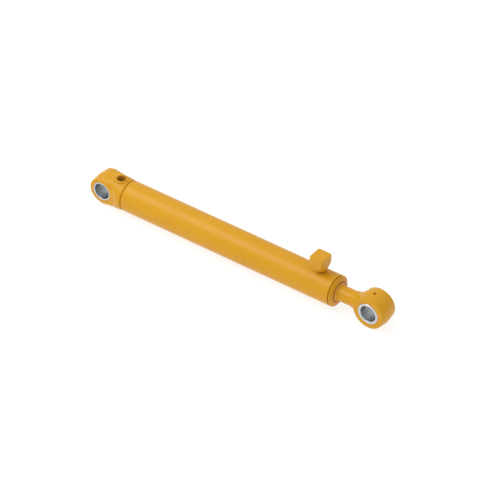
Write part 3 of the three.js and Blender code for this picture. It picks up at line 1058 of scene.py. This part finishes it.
def make_wiper():
    """The wiper's body in the gland, its rim just under the face, and the lip that leans out."""
    lip = ROD_RADIUS + 0.05 * MM
    outer = wiper_high.z
    face = gland_high.x
    end = wiper_high.x
    outline = rounded(
        [
            (wiper_low.x, lip + 0.9 * MM, 0.2 * MM),
            (wiper_low.x, outer, 0.2 * MM),
            (face + 0.1 * MM, outer, 0.3 * MM),
            (face + 0.1 * MM, outer - 1.5 * MM, 0.3 * MM),
            (face + 0.6 * MM, outer - 1.8 * MM, 0.4 * MM),
            (end - 0.3 * MM, lip + 1.5 * MM, 0.5 * MM),
            (end, lip + 0.9 * MM, 0.3 * MM),
            (end, lip, 0.1 * MM),
            (face - 1.2 * MM, lip, 0.1 * MM),
            (face - 2.6 * MM, lip + 0.5 * MM, 0.3 * MM),
        ],
        3,
    )
    wiper = turned("wiper_seal_lip", outline, sides=144)
    keep_flats_flat(wiper)
    finish_piece(wiper, "wiper", "barrel", "wiper_seal")


# ---- Rod and rod eye ---------------------------------------------------------------------------

def make_rod():
    """The rod's chromed length, and the painted end that stays outside the gland."""
    paint_start = wiper_high.x - 0.6 * MM
    film = 0.06 * MM
    shaft = turned(
        "rod_chromed_shaft",
        rounded(
            [
                (rod_low.x, 0),
                (rod_low.x, ROD_SPIGOT_RADIUS, 0.8 * MM),
                (ROD_SHOULDER_X, ROD_SPIGOT_RADIUS),
                (ROD_SHOULDER_X, ROD_RADIUS, 1.2 * MM),
                (paint_start, ROD_RADIUS),
                (paint_start, 0),
            ]
        ),
        sides=128,
    )
    keep_flats_flat(shaft)
    finish_piece(shaft, "chrome", "rod", "rod")
    end = turned(
        "rod_painted_end",
        rounded(
            [
                (paint_start, 0),
                (paint_start, ROD_RADIUS),
                (paint_start + 0.4 * MM, ROD_RADIUS + film),
                (rod_high.x, ROD_RADIUS + film),
                (rod_high.x, 0),
            ]
        ),
        sides=128,
    )
    keep_flats_flat(end)
    finish_piece(end, "paint", "rod", "rod")


def make_rod_weld():
    """The bead round the end of the rod, against the stub of the eye."""
    start = rod_weld_low.x
    length = rod_weld_high.x + 0.6 * MM - start
    height = rod_weld_high.z - ROD_RADIUS
    root = ROD_RADIUS - 0.3 * MM
    points = [(0, root, 0)]
    steps = 10
    for i in range(steps + 1):
        share = i / steps
        out = ROD_RADIUS + height * math.sin(math.pi / 2 * share**0.8)
        points.append((length * share, out, math.sin(math.pi * share)))
    points.append((length, root, 0))

    def spot(angle, across, out):
        return start + across, out * math.cos(angle), out * math.sin(angle)

    weld = bead("rod_weld_bead", 540, spot, points, 54, 0.14 * MM, 2.0)
    finish_piece(weld, "paint", "rod", "rod_weld")


def make_rod_eye():
    """The forged rod eye and its stub, with the bushing's bore and the grease hole cut out."""
    face_radius = ROD_EYE_RADIUS - 2.8 * MM
    half = EYE_HALF_WIDTH
    stub_start = eye_low.x
    low = (stub_start - 2 * MM, -half - 2 * MM, -ROD_EYE_RADIUS - 2 * MM)
    high = (eye_high.x + 2 * MM, half + 2 * MM, ROD_EYE_RADIUS + 2 * MM)

    def field(x, y, z):
        eye = eye_field(x - ROD_PIN_X, y, z, ROD_EYE_RADIUS, face_radius, half, 1.4 * MM)
        stub = np.sqrt(y * y + z * z) - (ROD_RADIUS + 1.6 * MM)
        stub = np.maximum(stub, x - ROD_PIN_X + 20 * MM)
        body = smooth_min(eye, stub, 9 * MM)
        body = smooth_max(body, np.abs(y) - half, 2.0 * MM)
        return smooth_max(body, stub_start - x, 0.8 * MM)

    eye = skin_of("rod_eye_forging", field, low, high, 0.8 * MM)
    bush_radius = (rod_bush_high.x - rod_bush_low.x) / 2
    bore = turned("bore", through_bore(bush_radius, half), "y", (ROD_PIN_X, 0, 0), 128)
    mouth = GREASE_HOLE_RADIUS + 0.8 * MM
    grease = turned(
        "grease",
        [
            (0, 0),
            (0, GREASE_HOLE_RADIUS),
            (ROD_EYE_RADIUS - 0.7 * MM, GREASE_HOLE_RADIUS),
            (ROD_EYE_RADIUS + 0.3 * MM, mouth),
            (ROD_EYE_RADIUS + 2 * MM, mouth),
            (ROD_EYE_RADIUS + 2 * MM, 0),
        ],
        "z",
        (ROD_PIN_X, 0, 0),
        48,
    )
    cut(eye, bore, grease)
    finish_piece(eye, "forged_paint", "rod", "rod_eye")


# ---- Inner pieces, which keep their CAD shape --------------------------------------------------

INNER_MATERIALS = {
    "gland_o_ring": "rubber",
    "gland_backup_ring": "guide",
    "rod_seal": "urethane",
    "buffer_seal": "urethane",
    "rod_guide_ring_rear": "guide",
    "rod_guide_ring_front": "guide",
    "piston_wear_ring_rear": "guide",
    "piston_wear_ring_front": "guide",
    "piston_seal": "urethane",
    "piston_seal_energiser": "rubber",
    "piston": "machined",
    "piston_o_ring": "rubber",
    "piston_nut": "machined",
}


def finish_inner_nodes():
    """Gives the pieces inside the barrel their materials."""
    for node, material in INNER_MATERIALS.items():
        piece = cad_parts[node]
        piece.data.materials.clear()
        piece.data.materials.append(MATERIALS[material])


make_barrel_tube()
make_base_weld()
make_base_cap()
make_thread("base_port_thread", PORT_TOP_Z, "z", (BASE_PORT_X, 0, 0), 1, "base_cap")
make_bushing(
    "base_bushing_sleeve", base_bush_low, base_bush_high, "barrel", "base_eye_bushing", "base_bushing"
)
make_head_port_block()
make_thread("head_port_thread", block_low.x, "x", (0, 0, HEAD_PORT_Z), -1, "head_port_block")
make_head_port_weld()
make_gland()
make_wiper()
make_rod()
make_rod_weld()
make_rod_eye()
make_bushing(
    "rod_bushing_sleeve", rod_bush_low, rod_bush_high, "rod", "rod_eye_bushing", "rod_bushing", True
)
finish_inner_nodes()
